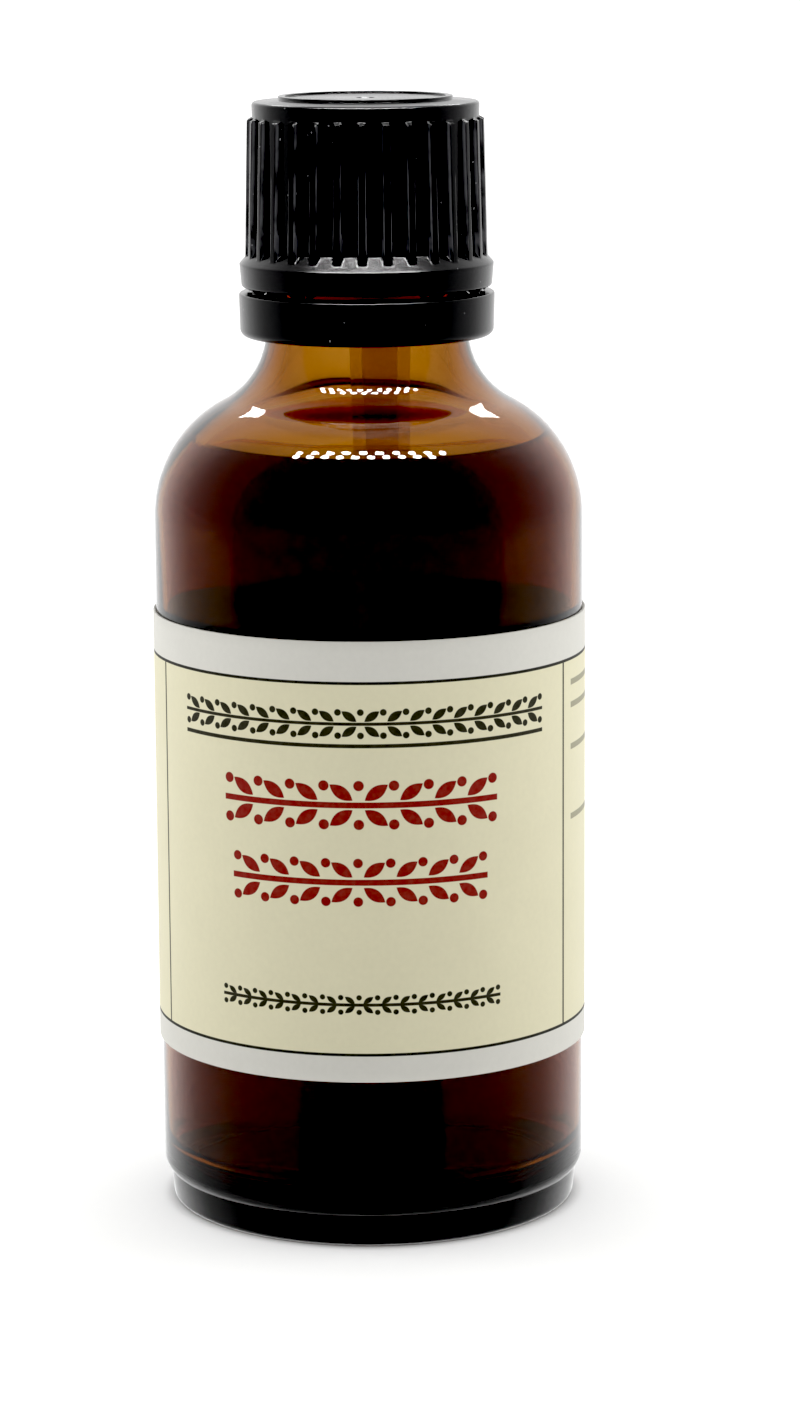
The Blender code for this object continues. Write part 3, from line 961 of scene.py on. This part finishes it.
@dataclass
class DropperInsert:
    """The moulded insert: plug, flange, pouring ring and stem, with its drop and air holes."""

    plug_r: float = 5.15 * MM
    plug_in_r: float = 4.3 * MM
    plug_low_z: float = 84.6 * MM
    flange_r: float = 7.3 * MM
    low_z: float = 92.3 * MM
    top_z: float = 93.1 * MM
    pour_r: float = 4.4 * MM
    pour_wall: float = 0.7 * MM
    pour_z: float = 94.1 * MM
    stem_x: float = 1.1 * MM
    stem_r: float = 2.6 * MM
    stem_bore_r: float = 1.5 * MM
    stem_low_z: float = 65.0 * MM
    drop_hole_r: float = 0.6 * MM
    vent_r: float = 0.4 * MM
    vent_x: float = -2.9 * MM
    edge: float = 0.15 * MM
    sides: int = 96

    def build(self) -> bpy.types.Object:
        """Model and dress the insert."""
        pour_in = self.pour_r - self.pour_wall
        rim_mid = (self.pour_r + pour_in - self.edge) / 2
        outline = [
            (0.0, self.low_z),
            (self.plug_in_r, self.low_z),
            (self.plug_in_r, self.plug_low_z + self.edge),
            (self.plug_in_r + self.edge, self.plug_low_z),
            (self.plug_r - 2 * self.edge, self.plug_low_z),
            (self.plug_r, self.plug_low_z + 0.8 * MM),
            (self.plug_r, self.low_z),
            *arc((self.flange_r - self.edge, self.low_z + self.edge), self.edge, -90, 0, 3),
            *arc((self.flange_r - self.edge, self.top_z - self.edge), self.edge, 0, 90, 3),
            (self.pour_r, self.top_z),
            *arc((rim_mid, self.pour_z - 0.25 * MM), 0.25 * MM, 0, 180, 8),
            (pour_in - self.edge, self.top_z),
            (0.0, self.top_z),
        ]
        obj = as_object("insert_moulding", turned(outline, self.sides), 40)
        inside = self.low_z + 0.3 * MM
        high = self.top_z + MM
        stem = rod(self.stem_x, self.stem_r, self.stem_low_z, inside, 64)
        rims = [e for e in stem.edges if all(v.co.z < self.stem_low_z + WELD for v in e.verts)]
        bmesh.ops.bevel(
            stem, geom=rims, offset=self.edge, segments=3, profile=0.5, affect="EDGES", material=-1
        )
        tools = [
            ("UNION", stem),
            ("DIFFERENCE", rod(self.stem_x, self.stem_bore_r, self.stem_low_z - MM, inside, 48)),
            ("DIFFERENCE", rod(self.stem_x, self.drop_hole_r, self.low_z, high, 32)),
            ("DIFFERENCE", rod(self.vent_x, self.vent_r, self.low_z - MM, high, 32)),
        ]
        cut(obj, tools, 40)
        return set_up(obj, MilkyPlastic().material(), Body.VESSEL, Slot.INSERT, "dropper_insert")


@dataclass
class PaperLabel:
    """The label wrapped round the body, its two ends a little apart at the back."""

    radius: float = 18.85 * MM
    inner_r: float = 18.76 * MM
    outer_r: float = 19.0 * MM
    gap_angle: float = 7.5
    gap_start: float = 90.0
    corner: float = 0.05 * MM
    columns: int = 240
    rows: int = 40

    def build(self) -> bpy.types.Object:
        """Model and dress the label."""
        low, high = (corner.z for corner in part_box("label"))
        bm = bmesh.new()
        front = steps_between((self.outer_r, low), (self.outer_r, high), self.rows)
        outline = [(self.inner_r, high), (self.inner_r, low), *front, (self.outer_r, high)]
        verts = [bm.verts.new((r, 0.0, z)) for r, z in outline]
        face = bm.faces.new(verts)
        turn = math.radians(self.gap_start + self.gap_angle)
        bmesh.ops.rotate(bm, verts=bm.verts, cent=(0, 0, 0), matrix=Matrix.Rotation(turn, 3, "Z"))
        bmesh.ops.spin(
            bm,
            geom=[*face.verts, *face.edges, face],
            cent=(0, 0, 0),
            axis=(0, 0, 1),
            angle=TURN - math.radians(self.gap_angle),
            steps=self.columns,
        )
        clean(bm)
        rims = [e for e in bm.edges if e.calc_face_angle(0.0) > math.radians(60)]
        bmesh.ops.bevel(
            bm, geom=rims, offset=self.corner, segments=2, profile=0.5, affect="EDGES", material=-1
        )
        obj = as_object("paper_label", bm, 40)
        return set_up(obj, PrintedPaper(self.radius).material(), Body.VESSEL, Slot.PAPER, "label")


@dataclass
class TamperRing:
    """The band left round the neck, with the stubs of its torn bridges and the low lip inside them."""

    top_z: float = 80.9 * MM
    low_z: float = 77.1 * MM
    top_r: float = 11.12 * MM
    low_r: float = 11.05 * MM
    in_r: float = 10.0 * MM
    fillet: float = 0.7 * MM
    edge: float = 0.2 * MM
    lip_r: float = 9.15 * MM
    lip_low_z: float = 77.7 * MM
    lip_top_z: float = 78.6 * MM
    lip_fillet: float = 0.45 * MM
    stubs: int = 12
    stub: tuple[float, float, float] = (0.45 * MM, 0.5 * MM, 0.4 * MM)
    stub_r: float = 10.45 * MM
    stub_fillet: float = 0.08 * MM
    tear: float = 0.16 * MM
    tear_z: float = 81.0 * MM
    sides: int = 192

    def build(self) -> bpy.types.Object:
        """Model and dress the band."""
        lip_mid = (self.lip_low_z + self.lip_top_z) / 2
        outline = [
            *arc((self.lip_r + self.lip_fillet, lip_mid), self.lip_fillet, 130, 230, 6),
            (self.in_r - 0.3 * MM, self.low_z),
            *arc((self.low_r - self.fillet, self.low_z + self.fillet), self.fillet, -90, 0, 8),
            *arc((self.top_r - self.edge, self.top_z - self.edge), self.edge, 0, 90, 4),
            (self.in_r + self.tear, self.top_z),
            *arc((self.in_r, self.tear_z), self.tear / 2, 60, 180, 4),
            (self.in_r, self.lip_top_z + 0.3 * MM),
        ]
        bm = turned(outline, self.sides, closed=True)
        for i in range(self.stubs):
            place = (
                Matrix.Rotation(TURN * (i + 0.5) / self.stubs, 4, "Z")
                @ Matrix.Translation((self.stub_r, 0, self.top_z))
                @ Matrix.Diagonal((*self.stub, 1))
            )
            made = bmesh.ops.create_cube(bm, size=1.0, matrix=place)
            edges = {e for v in made["verts"] for e in v.link_edges}
            bmesh.ops.bevel(
                bm,
                geom=list(edges),
                offset=self.stub_fillet,
                segments=2,
                profile=0.5,
                affect="EDGES",
                material=-1,
            )
        obj = as_object("tamper_ring", bm, 50)
        finish = BlackPlastic("band_finish")
        return set_up(obj, finish.material(), Body.VESSEL, Slot.BLACK, "tamper_band")


@dataclass
class SealingDisc:
    """The foam disc that lies under the cap's ceiling."""

    radius: float = 8.5 * MM
    low_z: float = 94.4 * MM
    top_z: float = 95.3 * MM
    edge: float = 0.12 * MM
    print_r: float = 4.05 * MM
    print_depth: float = 0.06 * MM

    def build(self) -> bpy.types.Object:
        """Model and dress the disc, with the mark that the pouring ring presses into it."""
        half = 0.35 * MM
        outline = [
            (0.0, self.low_z),
            (self.print_r - half, self.low_z),
            (self.print_r, self.low_z + self.print_depth),
            (self.print_r + half, self.low_z),
            *arc((self.radius - self.edge, self.low_z + self.edge), self.edge, -90, 0, 4),
            *arc((self.radius - self.edge, self.top_z - self.edge), self.edge, 0, 90, 4),
            (0.0, self.top_z),
        ]
        obj = as_object("sealing_disc", turned(outline, 128), 50)
        return set_up(obj, WhiteFoam().material(), Body.SEAL, Slot.FOAM, "liner")


@dataclass
class ScrewCap:
    """The ribbed cap: flange, grip, collar, top with its raised ring, hollow and thread."""

    bore_r: float = 8.95 * MM
    mouth_r: float = 9.7 * MM
    mouth_z: float = 82.6 * MM
    mouth_lead: float = 0.5 * MM
    low_z: float = 81.4 * MM
    ceiling_z: float = 95.6 * MM
    disc_z: float = 97.6 * MM
    collar_r: float = 9.85 * MM
    rim_z: float = 97.33 * MM
    fillet: float = 0.3 * MM
    ribs: int = 30
    rib_turn: float = -1.0
    rib_top_z: float = 95.76 * MM
    rib_top_r: float = 10.27 * MM
    rib_low_z: float = 84.07 * MM
    rib_low_r: float = 10.54 * MM
    rib_top_width: float = 0.55 * MM
    rib_low_width: float = 0.75 * MM
    flank: float = 0.16 * MM
    flank_span: Point = (0.22, 0.58)
    shelf: float = 0.26 * MM
    # the part of a rib's shape where a highlight is painted
    highlight_span: Point = (0.4, 0.97)
    valley_top_r: float = 9.82 * MM
    valley_low: Point = (9.92 * MM, 84.7 * MM)
    flange_top: Point = (11.05 * MM, 83.43 * MM)
    flange_low_r: float = 10.9 * MM
    chamfer: float = 0.25 * MM
    ring_out_r: float = 7.55 * MM
    ring_in_r: float = 6.95 * MM
    ring_top_z: float = 97.8 * MM
    ring_foot_z: float = 97.5 * MM
    ring_crest: float = 0.07 * MM
    gate_r: float = 0.8 * MM
    gate_depth: float = 0.18 * MM
    thread_r: float = 8.05 * MM
    thread_root: float = 1.2 * MM
    thread_crest: float = 0.5 * MM
    thread_z: float = 82.075 * MM
    thread_start: float = 160.0
    thread_turns: float = 1.5
    thread_runout: float = 30.0
    pitch: float = 3.0 * MM
    columns: int = 16

    def outline(self) -> list[Point]:
        """The cap's skin, from the middle of its top over the outside and up into its hollow."""
        gate = [
            (0.0, self.disc_z - self.gate_depth * 0.4),
            (self.gate_r * 0.35, self.disc_z - self.gate_depth * 0.4),
            (self.gate_r * 0.5, self.disc_z - self.gate_depth),
            (self.gate_r * 0.85, self.disc_z - self.gate_depth),
            (self.gate_r, self.disc_z),
        ]
        crest = self.ring_crest
        ring = [
            *arc((self.ring_in_r - crest, self.disc_z + crest), crest, -90, 0, 3),
            *arc((self.ring_in_r + crest, self.ring_top_z - crest), crest, 180, 90, 3),
            *arc((self.ring_out_r - crest, self.ring_top_z - crest), crest, 90, 0, 3),
            *arc((self.ring_out_r + crest, self.ring_foot_z + crest), crest, 180, 265, 3),
        ]
        edge = arc((self.collar_r - self.fillet, self.rim_z - self.fillet), self.fillet, 85, 0, 6)
        rib_head = self.rib_top_z + self.shelf
        head_top = (self.valley_top_r, rib_head + 0.05 * MM)
        head = steps_between(head_top, (self.valley_top_r, self.rib_top_z), 5)
        grip = steps_between((self.valley_top_r, self.rib_top_z), self.valley_low, 16)
        slope = steps_between(self.valley_low, self.flange_top, 14)
        flange_r, flange_z = self.flange_top
        rim = [
            (flange_r - 0.03 * MM, flange_z + 0.03 * MM),
            (flange_r, flange_z - 0.03 * MM),
            *steps_between(
                (flange_r - 0.01 * MM, flange_z - 0.15 * MM),
                (self.flange_low_r, self.low_z + self.chamfer),
                4,
            ),
            *arc(
                (self.flange_low_r - self.chamfer, self.low_z + self.chamfer), self.chamfer, 0, -90, 4
            ),
        ]
        mouth = [
            *arc((self.mouth_r + 0.1 * MM, self.low_z + 0.1 * MM), 0.1 * MM, -90, -180, 3),
            (self.mouth_r, self.mouth_z - self.mouth_lead),
            (self.bore_r, self.mouth_z),
            (self.bore_r, self.ceiling_z - 0.3 * MM),
            (self.bore_r - 0.3 * MM, self.ceiling_z),
            (0.0, self.ceiling_z),
        ]
        return gate + ring + edge + head + grip + slope + rim + mouth

    def spread(self, bm: bmesh.types.BMesh) -> None:
        """Turn the points of each rib's sector so that most of them lie on its flanks."""
        sector = 360 / self.ribs
        half = sector / 2
        for vert in bm.verts:
            x, y, _ = vert.co
            if math.hypot(x, y) < WELD:
                continue
            angle = math.degrees(math.atan2(y, x))
            off = (angle + half) % sector - half
            share = abs(off) / half
            low, high = self.flank_span
            if share < 0.25:
                wide = share / 0.25 * low
            elif share < 0.75:
                wide = low + (share - 0.25) / 0.5 * (high - low)
            else:
                wide = high + (share - 0.75) / 0.25 * (1 - high)
            turn = math.radians(math.copysign(wide * half, off) - off)
            vert.co.rotate(Matrix.Rotation(turn, 3, "Z"))

    def down_rib(self, height: float) -> float:
        """How far down the ribs a height is, from 0 at their heads to 1 at their feet."""
        return min(1.0, max(0.0, (self.rib_top_z - height) / (self.rib_top_z - self.rib_low_z)))

    def rib(self, angle: float, height: float) -> Point:
        """The radius of the crests at a height, and how much of a rib stands at an angle, 0 to 1."""
        sector = 360 / self.ribs
        off = abs((angle + sector / 2) % sector - sector / 2)
        share = self.down_rib(height)
        crest_r = self.rib_top_r + (self.rib_low_r - self.rib_top_r) * share
        width = self.rib_top_width + (self.rib_low_width - self.rib_top_width) * share
        across = math.radians(off) * crest_r
        return crest_r, 1 - smooth(across, width / 2 - 0.05 * MM, width / 2 + self.flank + 0.03 * MM)

    def highlit_edge(self, place: Vector) -> bool:
        """Whether a point lies on the edge of a rib's crest, where a highlight is painted."""
        angle = math.degrees(math.atan2(place.y, place.x)) - self.rib_turn + 90
        if not self.rib_low_z < place.z < self.rib_top_z + WELD:
            return False
        low, high = self.highlight_span
        stands_out = place.xy.length > self.valley_top_r + 0.1 * MM
        return stands_out and low < self.rib(angle, place.z)[1] < high

    def grip(self, angle: float, radius: float, height: float) -> float:
        """The radius of the outside at an angle and height, with the ribs on it."""
        if radius < self.valley_top_r - 0.05 * MM or height > self.rib_top_z + self.shelf + WELD:
            return radius
        if height < self.flange_top[1]:
            return radius
        crest_r, shape = self.rib(angle, height)
        share = self.down_rib(height)
        head = min(1.0, max(0.0, (self.rib_top_z + self.shelf - height) / self.shelf))
        valley = self.valley_top_r + (self.valley_low[0] - self.valley_top_r) * share
        return max(radius, valley + (crest_r - valley) * shape * head)

    def thread(self) -> bpy.types.Object:
        """Model and dress the ridge that climbs the inside of the cap."""
        bm = bmesh.new()
        root = self.bore_r + 0.3 * MM
        section = [
            (root, -self.thread_root / 2),
            (self.bore_r - 0.05 * MM, -self.thread_root / 2),
            (self.thread_r + 0.1 * MM, -self.thread_crest / 2 - 0.08 * MM),
            (self.thread_r, -self.thread_crest / 2 + 0.08 * MM),
            (self.thread_r, self.thread_crest / 2 - 0.08 * MM),
            (self.thread_r + 0.1 * MM, self.thread_crest / 2 + 0.08 * MM),
            (self.bore_r - 0.05 * MM, self.thread_root / 2),
            (root, self.thread_root / 2),
        ]
        start_z = self.thread_z + self.pitch * self.thread_start / 360
        face = bm.faces.new([bm.verts.new((r, 0.0, start_z + z)) for r, z in section])
        first = Matrix.Rotation(math.radians(self.thread_start), 3, "Z")
        bmesh.ops.rotate(bm, verts=bm.verts, cent=(0, 0, 0), matrix=first)
        steps = round(96 * self.thread_turns)
        bmesh.ops.spin(
            bm,
            geom=[*face.verts, *face.edges, face],
            cent=(0, 0, 0),
            axis=(0, 0, 1),
            dvec=(0, 0, self.pitch * self.thread_turns / steps),
            angle=TURN * self.thread_turns,
            steps=steps,
        )
        clean(bm)
        for vert in bm.verts:
            x, y, z = vert.co
            turn = math.degrees(math.atan2(y, x)) - self.thread_start
            climbed = (z - start_z) / self.pitch * 360
            along = turn + 360 * round((climbed - turn) / 360)
            last = 360 * self.thread_turns - along
            fade = min(1.0, max(along, 0.0) / self.thread_runout, max(last, 0.0) / self.thread_runout)
            radius = math.hypot(x, y)
            depth = max(0.0, self.bore_r + 0.05 * MM - radius) * (1 - fade)
            vert.co.xy *= (radius + depth) / radius
        obj = as_object("cap_inner_thread", bm, 50)
        finish = BlackPlastic("cap_thread_finish")
        return set_up(obj, finish.material(), Body.CLOSURE, Slot.BLACK)

    def build(self) -> bpy.types.Object:
        """Model and dress the cap."""
        bm = turned(self.outline(), self.ribs * self.columns)
        self.spread(bm)
        push(bm, self.grip)
        turn = Matrix.Rotation(math.radians(self.rib_turn - 90), 3, "Z")
        bmesh.ops.rotate(bm, verts=bm.verts, cent=(0, 0, 0), matrix=turn)
        bmesh.ops.recalc_face_normals(bm, faces=bm.faces)
        obj = as_object("screw_cap", bm, 50)
        # the worn attribute marks the rib edges where the finish paints a highlight
        mark(obj, "worn", self.highlit_edge)
        finish = BlackPlastic("cap_finish")
        return set_up(obj, finish.material(), Body.CLOSURE, Slot.BLACK, "cap")


@dataclass
class Studio:
    """The pale floor, the light tent with its open front, its strip of small lamps and the camera."""

    floor_half: float = 6.0
    shown_white: float = 1.3
    front_light: float = 0.33
    side_light: tuple[float, float, float] = (75.0, 135.0, 1.3)
    roof_light: float = 1.2
    roof_angle: float = 50.0
    roof_soft: float = 3.0
    front_glint: float = 0.7
    side_glint: float = 1.0
    back_glint: tuple[float, float, float] = (105.0, 140.0, 1.6)
    front_soft: float = 2.0
    front_wide: tuple[float, float] = (-8.7, 76.7)
    front_narrow: tuple[float, float] = (-15.8, 40.0)
    lamp_count: int = 20
    lamp_r: float = 6.0 * MM
    lamp_half_row: float = 110 * MM
    lamp_place: tuple[float, float] = (-75 * MM, 255 * MM)
    lamp_sag: float = 30 * MM
    lamp_stagger: float = 16 * MM
    lamp_strength: float = 110.0
    back_lamp: tuple[float, float, float] = (0.18, 0.44, 0.44)
    back_lamp_size: tuple[float, float] = (0.13, 0.08)
    back_lamp_strength: float = 14.0
    panel_place: tuple[float, float, float] = (0.5, 0.09, 0.16)
    panel_size: float = 0.3
    panel_power: float = 0.8
    camera_place: tuple[float, float, float] = (6.658 * MM, -395.37 * MM, 118.88 * MM)
    camera_pitch: float = 10.764
    camera_yaw: float = -0.581
    camera_roll: float = -0.371
    camera_lens: float = 115.16
    black_level: float = 0.045

    def floor(self) -> bpy.types.Object:
        """Lay the floor. Shiny surfaces mirror the tent instead of it."""
        bm = bmesh.new()
        bmesh.ops.create_grid(bm, x_segments=1, y_segments=1, size=self.floor_half)
        obj = as_object("floor", bm, 40)
        obj.data.materials.append(PaleFloor().material())
        obj.visible_glossy = False
        return obj

    def tent(self) -> None:
        """Light the world as a white tent that is open and dark towards the front."""
        world = bpy.data.worlds.new("light_tent")
        bpy.context.scene.world = world
        world.use_nodes = True
        world.node_tree.nodes.clear()
        nodes = Nodes(world.node_tree)
        x, y, z = nodes.split(nodes.add("ShaderNodeTexCoord").outputs["Generated"])
        turn = nodes.maths("ARCTAN2", nodes.maths("ABSOLUTE", x), nodes.maths("MULTIPLY", y, -1.0))
        lift = nodes.maths("ARCSINE", z)
        start, full, bright = self.side_light
        walls = nodes.rise(turn, math.radians(start), math.radians(full))
        walls = nodes.maths("MULTIPLY_ADD", walls, bright - self.front_light, self.front_light)
        roof = nodes.rise(
            lift,
            math.radians(self.roof_angle - self.roof_soft),
            math.radians(self.roof_angle + self.roof_soft),
        )
        light = nodes.maths("MAXIMUM", walls, nodes.maths("MULTIPLY", roof, self.roof_light))
        path = nodes.add("ShaderNodeLightPath")
        shown = nodes.maths("MULTIPLY", path.outputs["Is Camera Ray"], self.shown_white)
        light = nodes.maths("MAXIMUM", shown, light)
        strength = nodes.add("ShaderNodeMix", data_type="FLOAT")
        nodes.put(strength.inputs[0], path.outputs["Is Glossy Ray"])
        nodes.put(strength.inputs[2], light)
        nodes.put(strength.inputs[3], self.glints(nodes, turn, lift))
        background = nodes.add("ShaderNodeBackground")
        nodes.put(background.inputs["Strength"], strength.outputs[0])
        output = nodes.add("ShaderNodeOutputWorld")
        nodes.put(output.inputs[0], background.outputs[0])

    def glints(self, nodes: Nodes, turn: Value, lift: Value) -> bpy.types.NodeSocket:
        """How bright the tent looks in shiny surfaces: dimmer in front, brighter behind.

        Args:
            nodes: the world's pen.
            turn: the angle from the front, either way, of the direction looked in.
            lift: its angle above the level.

        Returns:
            The brightness.
        """
        edge = nodes.add("ShaderNodeMapRange")
        nodes.put(edge.inputs["Value"], lift)
        ends = zip(self.front_narrow, self.front_wide)
        for socket, degrees in zip(list(edge.inputs)[1:5], (end for pair in ends for end in pair)):
            socket.default_value = math.radians(degrees)
        soft = math.radians(self.front_soft)
        off_edge = nodes.maths("SUBTRACT", turn, edge.outputs[0])
        front = nodes.rise(off_edge, -soft, soft)
        level = nodes.maths("MULTIPLY_ADD", front, self.side_glint - self.front_glint, self.front_glint)
        start, full, bright = self.back_glint
        back = nodes.rise(turn, math.radians(start), math.radians(full))
        return nodes.maths("MULTIPLY_ADD", back, bright - self.side_glint, level)

    def lamps(self) -> bpy.types.Object:
        """Hang the strip of lamps over the tent's open front, where only shiny surfaces show it."""
        bm = bmesh.new()
        y, z = self.lamp_place
        for i in range(self.lamp_count):
            x = self.lamp_half_row * (2 * i / (self.lamp_count - 1) - 1)
            near = y + self.lamp_sag * (x / self.lamp_half_row) ** 2
            offset = self.lamp_stagger / 2 * (1 if i % 2 else -1)
            face_bottle = Vector((x, near, z)).to_track_quat("Z", "Y").to_matrix().to_4x4()
            place = Matrix.Translation((x, near + offset, z)) @ face_bottle
            bmesh.ops.create_circle(bm, cap_ends=True, segments=16, radius=self.lamp_r, matrix=place)
        return self.glowing("lamp_strip", bm, self.lamp_strength)

    def back_lamps(self) -> bpy.types.Object:
        """Stand a soft lamp behind the bottle on either side, where only shiny surfaces show it."""
        bm = bmesh.new()
        x, y, z = self.back_lamp
        for side in (-1, 1):
            face_bottle = Vector((side * x, y, z)).to_track_quat("Z", "Y").to_matrix().to_4x4()
            place = Matrix.Translation((side * x, y, z)) @ face_bottle
            place = place @ Matrix.Diagonal((*self.back_lamp_size, 1, 1))
            bmesh.ops.create_grid(bm, x_segments=1, y_segments=1, size=0.5, matrix=place)
        return self.glowing("back_lamps", bm, self.back_lamp_strength)

    def glowing(self, name: str, bm: bmesh.types.BMesh, strength: float) -> bpy.types.Object:
        """Make a lamp of a shape, which only shiny surfaces show.

        Args:
            name: the object's name.
            bm: its shape, which is freed.
            strength: how bright it glows.

        Returns:
            The object.
        """
        obj = as_object(name, bm, 40)
        material, nodes = new_material(f"{name}_glow")
        glow = nodes.add("ShaderNodeEmission")
        glow.inputs["Strength"].default_value = strength
        close(nodes, glow)
        obj.data.materials.append(material)
        for kind in ("camera", "diffuse", "transmission", "shadow", "volume_scatter"):
            setattr(obj, f"visible_{kind}", False)
        return obj

    def panels(self) -> None:
        """Set up a soft panel on either side, which lights the label's sides."""
        for side in (-1, 1):
            light = bpy.data.lights.new("side_panel", "AREA")
            light.shape = "SQUARE"
            light.size = self.panel_size
            light.energy = self.panel_power
            obj = bpy.data.objects.new("side_panel", light)
            obj.location = (side * self.panel_place[0], *self.panel_place[1:])
            obj.rotation_euler = obj.location.to_track_quat("Z", "Y").to_euler()
            obj.visible_glossy = False
            obj.visible_camera = False
            obj.visible_transmission = False
            bpy.context.scene.collection.objects.link(obj)

    def camera(self) -> bpy.types.Object:
        """Set up the camera, and develop its picture with full contrast and deep blacks."""
        pitch, yaw, roll = (
            math.radians(turn) for turn in (self.camera_pitch, self.camera_yaw, self.camera_roll)
        )
        ahead = Vector(
            (math.sin(yaw) * math.cos(pitch), math.cos(yaw) * math.cos(pitch), -math.sin(pitch))
        )
        level = Vector((math.cos(yaw), -math.sin(yaw), 0))
        upright = level.cross(ahead)
        right = level * math.cos(roll) + upright * math.sin(roll)
        up = upright * math.cos(roll) - level * math.sin(roll)
        data = bpy.data.cameras.new("camera")
        data.lens = self.camera_lens
        data.clip_start = 0.01
        obj = bpy.data.objects.new("camera", data)
        turned_to = Matrix((right, up, -ahead)).transposed().to_4x4()
        obj.matrix_world = Matrix.Translation(self.camera_place) @ turned_to
        bpy.context.scene.collection.objects.link(obj)
        scene = bpy.context.scene
        scene.camera = obj
        scene.view_settings.view_transform = "Standard"
        scene.view_settings.use_curve_mapping = True
        scene.view_settings.curve_mapping.black_level = (self.black_level,) * 3
        scene.view_settings.curve_mapping.update()
        return obj

    def build(self) -> None:
        """Set up the whole studio."""
        self.floor()
        self.tent()
        self.lamps()
        self.back_lamps()
        self.panels()
        self.camera()


def main() -> None:
    """Build every piece of the bottle in order, then the studio round it."""
    logging.basicConfig(level=logging.INFO, format="%(name)s %(message)s")
    Studio().build()
    glass = GlassBottle()
    insert = DropperInsert()
    tincture = Tincture(glass)
    glass.build(tincture.level)
    tincture.build(insert)
    insert.build()
    PaperLabel().build()
    TamperRing().build()
    SealingDisc().build()
    cap = ScrewCap()
    cap.build()
    cap.thread()


if __name__ == "__main__":
    main()
